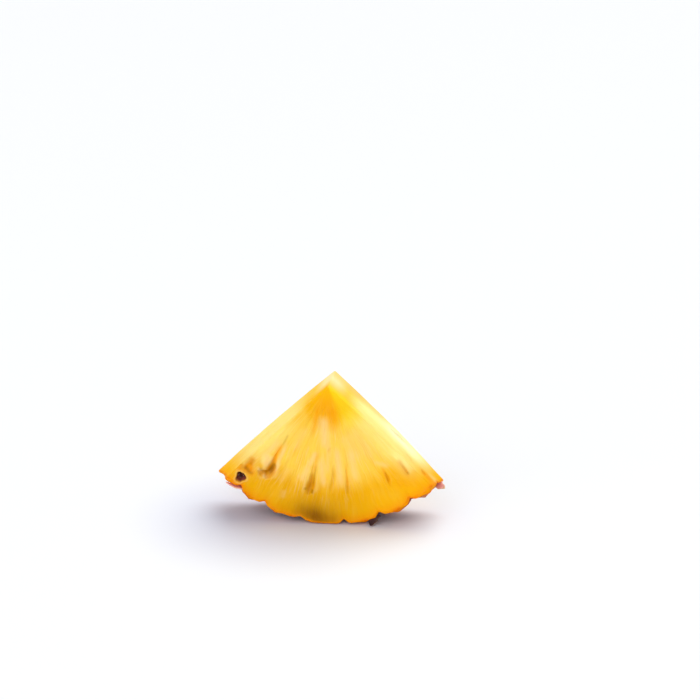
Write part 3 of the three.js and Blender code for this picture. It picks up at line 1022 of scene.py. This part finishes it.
def bract_finish(name, rind, fresh=0.0, dark=0.0):
    """Papery bract: plum at the root, red and amber along it, dry cream margins."""
    made = Finish(name)
    side, run = made.values("blade")[:2]
    veins = made.grain(made.vector("blade"), (9.0, 1.2, 6.0))
    stains = made.grain(made.place(), (260.0, 260.0, 260.0), 4.0, 0.6)
    colour = made.mix((run * 2.0 + stains.swing(1.4)).clipped(), rind.plum, rind.red)
    colour = made.mix((run.fade(0.1, 0.7) * (0.3 + stains * 1.1)).clipped(), colour, rind.amber)
    colour = made.mix(veins.fade(0.56, 0.72) * stains.fade(0.45, 0.6) * 0.4, colour, rind.blush)
    pink = made.mix(stains.fade(0.45, 0.75) * 0.6, rind.blush, rind.rose)
    pink = made.mix(run.fade(0.75, 1.0) * stains.fade(0.3, 0.5), pink, rind.cream)
    colour = made.mix(run.fade(0.02, 0.3) * fresh, colour, pink)
    colour = made.mix(dark, colour, made.mix(stains.fade(0.4, 0.7) * 0.7, rind.soot, rind.dry))
    dry = abs(side).fade(0.72, 1.0) * stains.fade(0.35, 0.6) * 0.8 + veins.fade(0.62, 0.8) * 0.25
    colour = made.mix((dry * (1 - 0.8 * dark)).clipped(), colour, rind.cream)
    colour = made.mix(run.fade(0.9, 1.0) * 0.6 * (1 - fresh), colour, rind.dry)
    return made.set(
        Base_Color=colour,
        Roughness=stains.swing(0.25, 0.5),
        Coat_Weight=(1 - run.fade(0.5, 1.0)) * 0.3 * (1 - 0.8 * dark),
        Coat_Roughness=0.25,
        Specular_IOR_Level=0.35 - 0.2 * dark,
        Normal=made.bump(veins * 0.6 + stains * 0.5, 0.25 * MM, 0.8),
    )


def floret_finish(rind):
    """Dry remains of a floret, ashen at the end."""
    made = Finish("dry_floret")
    run = made.values("blade")[1]
    stains = made.grain(made.place(), (900.0, 900.0, 900.0))
    return made.set(
        Base_Color=made.mix((run * 0.8 + stains.swing(1.4)).clipped(), rind.dry, rind.ash),
        Roughness=0.42,
        Specular_IOR_Level=0.5,
        Normal=made.bump(stains, 0.1 * MM, 0.7),
    )


def floor_finish(floor, shade, middle, reach):
    """A pale floor with a painted shadow around a middle. The reach says where that ends and is
    full.
    """
    made = Finish("pale_floor_painted_shadow")
    inputs = {0: made.place(), 1: middle}
    away = made.node("ShaderNodeVectorMath", {"operation": "DISTANCE"}, inputs).outputs["Value"]
    # Painted shadow on the floor around the slice
    near = Shade(made, away).fade(*reach)
    return made.set(
        Base_Color=made.mix(near, floor, shade), Roughness=0.5, Specular_IOR_Level=0.15
    )


def read_places(bm):
    return np.array([vert.co[:] for vert in bm.verts])


def write_places(bm, places):
    for vert, place in zip(bm.verts, places.tolist()):
        vert.co = place


def shells(bm):
    """The faces of each closed shell in turn."""
    left = set(bm.faces)
    while left:
        shell = [left.pop()]
        for face in shell:
            for edge in face.edges:
                for other in edge.link_faces:
                    if other in left:
                        left.remove(other)
                        shell.append(other)
        yield shell


def face_outward(bm):
    bmesh.ops.recalc_face_normals(bm, faces=bm.faces)
    bm.normal_update()
    for shell in shells(bm):
        parts = [face.calc_center_median().dot(face.normal) * face.calc_area() for face in shell]
        if sum(parts) < 0:
            bmesh.ops.reverse_faces(bm, faces=shell)


def new_object(bm, name, material):
    mesh = bpy.data.meshes.new(name)
    bm.to_mesh(mesh)
    bm.free()
    mesh.materials.append(material)
    made = bpy.data.objects.new(name, mesh)
    bpy.context.scene.collection.objects.link(made)
    return made


def finish_piece(bm, name, material):
    """A mesh object in metres, smooth, riding on the slice's body."""
    face_outward(bm)
    bmesh.ops.scale(bm, vec=(MM, MM, MM), verts=bm.verts)
    piece = new_object(bm, name, material)
    piece.data.shade_smooth()
    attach(piece, "root")
    return piece


def new_blades():
    """A mesh for blades, and the layer that notes each point's place on its blade."""
    bm = bmesh.new()
    return bm, bm.verts.layers.float_vector.new("blade")


def flat_plate(bm, layer, each, cells, thick=1.0):
    """A plate from -1 to 1 across and 0 to 1 along, with its blade values noted."""
    made = bmesh.ops.create_grid(bm, x_segments=cells[0], y_segments=cells[1], size=1)
    top = made["verts"]
    faces = dict.fromkeys(face for vert in top for face in vert.link_faces)
    under = bmesh.ops.extrude_face_region(bm, geom=list(faces))
    lower = [item for item in under["geom"] if isinstance(item, bmesh.types.BMVert)]
    bmesh.ops.translate(bm, vec=(0, 0, -thick), verts=lower)
    plate = top + lower
    for vert in plate:
        vert.co.y = (vert.co.y + 1) / 2
        vert[layer] = (vert.co.x, vert.co.y, each)
    return plate


class PINEAPPLE_OT_slice(bpy.types.Operator):
    """Build the slice itself: flesh and rind in one piece"""

    bl_idname = "pineapple.slice"
    bl_label = "Flesh and rind"
    bl_options = {"REGISTER", "UNDO"}

    def execute(self, context):
        scene = context.scene
        form = SliceForm(scene.pineapple_sizes)
        bm = self.block(scene.pineapple_sizes)
        bmesh.ops.scale(bm, vec=(form.radius, form.radius, form.thickness), verts=bm.verts)
        self.refine(bm, form)
        skin = form.shape(read_places(bm))
        form.open_hollows(skin)
        form.add_grain(skin)
        settle(skin.places)
        write_places(bm, skin.places)
        finish = SliceFinish(form, scene.pineapple_flesh, scene.pineapple_rind)
        piece = finish_piece(bm, "ripe_slice", finish.finished())
        self.write_attributes(piece.data, form, skin)
        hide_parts(NODE)
        return {"FINISHED"}

    def block(self, sizes):
        """A unit block, cut into cells across its faces and then through its thickness."""
        bm = bmesh.new()
        bmesh.ops.create_cube(bm, size=1)
        bmesh.ops.translate(bm, vec=(0.5, 0.5, 0.5), verts=bm.verts)
        for upright, cells in ((False, sizes.face_steps), (True, sizes.depth_steps)):
            edges = []
            for edge in bm.edges:
                rise = abs(edge.verts[0].co.z - edge.verts[1].co.z)
                if (rise > 0.5) == upright:
                    edges.append(edge)
            bmesh.ops.subdivide_edges(bm, edges=edges, cuts=cells - 1, use_grid_fill=True)
        return bm

    def refine(self, bm, form):
        """Smaller cells where a fissure or a cup opens the flesh."""
        skin = form.shape(read_places(bm))
        form.open_hollows(skin)
        hollow = (skin.sunk > 0.02) | (skin.cup > 0) | (skin.lip > 0.5)
        edges = [edge for edge in bm.edges if all(hollow[vert.index] for vert in edge.verts)]
        bmesh.ops.subdivide_edges(bm, edges=edges, cuts=1, use_grid_fill=True)

    def write_attributes(self, mesh, form, skin):
        """What the finish reads, three values to a name."""
        paint = FleshPaint(form, skin)
        sway = 1.2 * rough(skin.places, (0.08, 0.08, 0.08), seed=7)
        sway += 0.4 * rough(skin.places, (0.25, 0.25, 0.25), seed=8)
        flat = skin.weights["front"] + skin.weights["back"]
        attributes = {
            "tone": (paint.ripe(), paint.orange(), paint.peach()),
            "marks": (paint.dark_olive_and_painted_shade(), skin.sunk, skin.cup),
            "layer": (paint.pale(), paint.core(), paint.painted_gleam()),
            "rim": (skin.rind, flat, form.from_rim(skin.angle, skin.depth)),
            "eye": (skin.eye_across, skin.eye_along, skin.to_groove),
            "fibre": form.along_fibres(skin, sway).T,
        }
        for name, values in attributes.items():
            held = mesh.attributes.new(name, "FLOAT_VECTOR", "POINT")
            held.data.foreach_set("vector", np.stack(values, axis=1).astype(np.float32).ravel())


class PINEAPPLE_OT_eye_bracts(bpy.types.Operator):
    """Lay the papery bract and the three sepals over every eye of the rind"""

    bl_idname = "pineapple.eye_bracts"
    bl_label = "Eye bracts"
    bl_options = {"REGISTER", "UNDO"}

    # How far inside the knife cuts, the shown face and the back the blades end
    CUT_INSET = 0.9
    FRONT_INSET = 2.2
    BACK_INSET = 0.9

    def execute(self, context):
        form = SliceForm(context.scene.pineapple_sizes)
        bm, layer = new_blades()
        for n, eye in enumerate(EYES):
            for k, blade in enumerate(EYE_BLADES):
                plate = flat_plate(bm, layer, n + k / 4, cells=(6, 10), thick=0.5)
                self.lay_blade(plate, n, k, blade, eye)
        self.trim(bm, form)
        write_places(bm, self.wrap(form, read_places(bm)))
        material = bract_finish("papery_bract", context.scene.pineapple_rind)
        finish_piece(bm, "eye_bracts", material)
        return {"FINISHED"}

    def lay_blade(self, plate, n, k, blade, eye):
        """Bends a plate into the kth blade of the nth eye."""
        spin = Matrix.Rotation(math.radians(blade.turn + 9 * draw(n, k + 1)), 3, "Z")
        run = blade.run * (1 + 0.12 * draw(n, k + 5))
        wide = blade.wide * (1 + 0.1 * draw(n, k + 9))
        for vert in plate:
            side, share, level = vert.co
            outline = (1 - share**1.7) ** 0.8 * (0.82 + 0.18 * math.sin(math.pi * share))
            sag = 0.35 * side * side * (1 - share)
            curl = blade.curl * share**5
            bend = blade.lift * math.sin(math.pi * min(share * 1.2, 1)) + curl - sag
            wave = 0.1 * math.sin(side * 5 + n) * share
            flat = spin @ Vector((side * wide * outline, blade.root - share * run, 0))
            vert.co = (eye[0] + flat.x, eye[1] + flat.y, level + 0.16 + bend + wave)

    def trim(self, bm, form):
        """Ends the blades where the knife went through them."""
        left = [-math.radians(angle) * form.radius for angle in form.CUT_ANGLES["left"]]
        right = [math.radians(angle) * form.radius for angle in form.CUT_ANGLES["right"]]
        middle_left = sum(left) / 2 + self.CUT_INSET
        middle_right = sum(right) / 2 - self.CUT_INSET
        planes = (
            ((0, self.FRONT_INSET - form.half, 0), (0, -1, 0)),
            ((0, form.half - self.BACK_INSET, 0), (0, 1, 0)),
            ((middle_left, 0, 0), (-form.thickness, left[1] - left[0], 0)),
            ((middle_right, 0, 0), (form.thickness, right[0] - right[1], 0)),
        )
        for point, normal in planes:
            geometry = bm.verts[:] + bm.edges[:] + bm.faces[:]
            bmesh.ops.bisect_plane(
                bm, geom=geometry, plane_co=point, plane_no=normal, clear_outer=True
            )
            open_edges = [edge for edge in bm.edges if edge.is_boundary]
            bmesh.ops.holes_fill(bm, edges=open_edges, sides=0)

    def wrap(self, form, places):
        """The flat blades laid on the rind, sunk into it near the rim."""
        arc, depth, height = places.T
        ragged = 0.8 * rough(places, (0.5, 0.5, 0.1), seed=9)
        bare = lerp(3.2, 1.2, smooth(depth, -4, 0))
        from_rim = form.from_rim(np.degrees(arc / form.radius), depth) + ragged
        clear = smooth(from_rim, bare - 0.6, bare + 1.4)
        wrapped = form.rind_point(arc, depth, lerp(0.5, 1, clear) * height - 0.9 * (1 - clear))
        settle(wrapped)
        return wrapped


class PINEAPPLE_OT_rim_flakes(bpy.types.Operator):
    """Set the dried bract tips that stand clear of the rim"""

    bl_idname = "pineapple.rim_flakes"
    bl_label = "Rim flakes"
    bl_options = {"REGISTER", "UNDO"}

    def execute(self, context):
        form = SliceForm(context.scene.pineapple_sizes)
        rind = context.scene.pineapple_rind
        for n, flake in enumerate(RIM_FLAKES):
            bm, layer = new_blades()
            flat_plate(bm, layer, n, cells=(8, 16))
            places = self.curl(form, flake, read_places(bm), n)
            settle(places)
            write_places(bm, places)
            material = bract_finish(f"dried_bract_{n + 1}", rind, flake.fresh, flake.dark)
            finish_piece(bm, f"rim_flake_{n + 1}", material)
        return {"FINISHED"}

    def curl(self, form, flake, places, n):
        """Bends a plate into a flake from its root to its tip."""
        start = form.point_at(*flake.root)
        along = form.point_at(*flake.tip) - start
        rind = unit(start - form.point_at(0, 0, start[1]))
        sideways = unit(np.cross(along, rind))
        out = unit(np.cross(sideways, along))
        turn = math.radians(flake.roll)
        flat = sideways * math.cos(turn) + out * math.sin(turn)
        out = out * math.cos(turn) - sideways * math.sin(turn)
        side, run, level = places.T
        taper = (1 - 0.92 * run**2) ** 0.8
        ragged = 1 + 0.12 * np.sin(run * 15 + n) * np.sign(side)
        bend = 0.7 * np.sin(np.pi * run) - 0.4 * side**2 * taper
        thick = flake.thick * (1 - 0.5 * run)
        return (
            start
            + np.outer(run * 1.15 - 0.15, along)
            + np.outer(side / 2 * flake.width * taper * ragged, flat)
            + np.outer(bend + (level + 0.5) * thick * (1 - 0.5 * side**2), out)
        )


class PINEAPPLE_OT_dry_florets(bpy.types.Operator):
    """Put the dry floret remains into the opened cups"""

    bl_idname = "pineapple.dry_florets"
    bl_label = "Dry florets"
    bl_options = {"REGISTER", "UNDO"}

    # Slivers in each cup, and how far of its depth they are rooted
    COUNT = 5
    ROOTED = 0.86

    def execute(self, context):
        form = SliceForm(context.scene.pineapple_sizes)
        bm, layer = new_blades()
        for face, cup, offset in (("front", FRONT_CUP, 0), ("back", BACK_CUP, 0.5)):
            inward = Vector(-form.outward(face))
            centre = Vector(form.face_point(face, *cup.place))
            floor = centre + inward * (cup.sink * self.ROOTED)
            for n in range(self.COUNT):
                plate = flat_plate(bm, layer, n + offset, cells=(4, 8))
                self.lay_sliver(plate, n, floor, inward)
        finish_piece(bm, "dry_florets", floret_finish(context.scene.pineapple_rind))
        return {"FINISHED"}

    def lay_sliver(self, plate, n, floor, inward):
        """Bends a plate into the nth sliver around a cup's floor."""
        turn = math.tau * n / 6 + 0.5 * draw(n, 21)
        lean = 0.55 + 0.2 * draw(n, 22)
        spread = Vector((math.cos(turn), 0, math.sin(turn)))
        root = floor + spread * 0.5
        along = spread * lean * 1.25 - inward * (2.6 + 0.5 * draw(n, 23))
        sideways = along.cross(spread).normalized()
        out = sideways.cross(along).normalized()
        for vert in plate:
            side, run, level = vert.co
            taper = (1 - run**2) ** 0.7 * (0.6 + 0.6 * run)
            rise = 0.3 * math.sin(math.pi * run) + (level + 0.5) * 0.16 - 0.2 * side * side
            vert.co = root + along * run + sideways * (side * 0.42 * taper) + out * rise


class PINEAPPLE_OT_studio(bpy.types.Operator):
    """Set the pale floor, the soft lights and the camera"""

    bl_idname = "pineapple.studio"
    bl_label = "Studio"
    bl_options = {"REGISTER", "UNDO"}

    FLOOR_RADIUS = 8
    # The middle of the painted shadow on the floor by the slice, and how far from it that ends and
    # is full
    SHADE_MIDDLE = (-0.02, -0.006, 0.0)
    SHADE_REACH = (0.065, 0.015)
    SKY = (0.93, 0.95, 1.0, 1.0)
    # Where each light stands, its soft spread in degrees and its colour
    KEY_LIGHT = ((0.36, 0.52, 1.08), 62, (1.0, 0.975, 0.94))
    FILL_LIGHT = ((-0.35, -1.05, 0.38), 75, (1.0, 0.99, 0.96))

    def execute(self, context):
        scene = context.scene
        studio = scene.pineapple_studio
        self.lay_floor(studio)
        self.set_sky(scene, studio.sky)
        self.add_light("key_light", studio.key, *self.KEY_LIGHT)
        self.add_light("fill_light", studio.fill, *self.FILL_LIGHT)
        self.set_camera(scene, studio)
        scene.view_settings.view_transform = "Standard"
        scene.view_settings.look = "None"
        return {"FINISHED"}

    def lay_floor(self, studio):
        bm = bmesh.new()
        bmesh.ops.create_circle(bm, cap_ends=True, radius=self.FLOOR_RADIUS, segments=64)
        material = floor_finish(studio.floor, studio.shade, self.SHADE_MIDDLE, self.SHADE_REACH)
        floor = new_object(bm, "floor", material)

    def set_sky(self, scene, strength):
        world = bpy.data.worlds.new("pale_surroundings")
        world.use_nodes = True
        sky = world.node_tree.nodes["Background"]
        sky.inputs["Color"].default_value = self.SKY
        sky.inputs["Strength"].default_value = strength
        scene.world = world

    def add_light(self, name, strength, place, spread, shade):
        """A far light, so that the floor is lit evenly."""
        data = bpy.data.lights.new(name, "SUN")
        data.angle = math.radians(spread)
        data.energy = strength
        data.color = shade
        light = bpy.data.objects.new(name, data)
        light.location = place
        light.rotation_mode = "QUATERNION"
        light.rotation_quaternion = (-light.location).to_track_quat("-Z", "Y")
        bpy.context.scene.collection.objects.link(light)

    def set_camera(self, scene, studio):
        """Puts the front end of the core edge at its pixel of the picture."""
        focal = PICTURE * studio.lens / SENSOR
        turn = studio.turn
        level = Vector((-math.sin(turn), math.cos(turn), 0)) * math.cos(studio.pitch)
        forward = level - Vector((0, 0, math.sin(studio.pitch)))
        right = Vector((math.cos(turn), math.sin(turn), 0))
        up = right.cross(forward)
        aside, below = ((pixel - PICTURE / 2) / focal for pixel in CORE_PIXEL)
        aim = forward + right * aside - up * below
        form = SliceForm(scene.pineapple_sizes)
        apex = Vector(form.face_point("front", 0, 0)) * MM
        data = bpy.data.cameras.new("camera")
        data.lens = studio.lens
        data.sensor_width = SENSOR
        data.clip_start = 0.01
        data.clip_end = 100
        camera = bpy.data.objects.new("camera", data)
        turned = Matrix((right, up, -forward)).transposed().to_4x4()
        camera.matrix_world = Matrix.Translation(apex - aim * studio.distance) @ turned
        scene.collection.objects.link(camera)
        scene.camera = camera


OPERATORS = (
    PINEAPPLE_OT_slice,
    PINEAPPLE_OT_eye_bracts,
    PINEAPPLE_OT_rim_flakes,
    PINEAPPLE_OT_dry_florets,
    PINEAPPLE_OT_studio,
)


class PINEAPPLE_PT_panel(bpy.types.Panel):
    """The slice's pieces in the sidebar"""

    bl_idname = "PINEAPPLE_PT_panel"
    bl_label = "Pineapple Slice"
    bl_space_type = "VIEW_3D"
    bl_region_type = "UI"
    bl_category = "Pineapple"

    def draw(self, context):
        for operator in OPERATORS:
            self.layout.operator(operator.bl_idname)


SETTINGS = {
    "pineapple_sizes": SliceSizes,
    "pineapple_flesh": FleshColours,
    "pineapple_rind": RindColours,
    "pineapple_studio": StudioSettings,
}


def register():
    for group in SETTINGS.values():
        bpy.utils.register_class(group)
    for operator in OPERATORS:
        bpy.utils.register_class(operator)
    bpy.utils.register_class(PINEAPPLE_PT_panel)
    for name, group in SETTINGS.items():
        setattr(bpy.types.Scene, name, bpy.props.PointerProperty(type=group))


def unregister():
    for name in SETTINGS:
        delattr(bpy.types.Scene, name)
    bpy.utils.unregister_class(PINEAPPLE_PT_panel)
    for operator in reversed(OPERATORS):
        bpy.utils.unregister_class(operator)
    for group in reversed(list(SETTINGS.values())):
        bpy.utils.unregister_class(group)


def main():
    register()
    bpy.ops.pineapple.slice()
    bpy.ops.pineapple.eye_bracts()
    bpy.ops.pineapple.rim_flakes()
    bpy.ops.pineapple.dry_florets()
    bpy.ops.pineapple.studio()


if __name__ == "__main__":
    main()
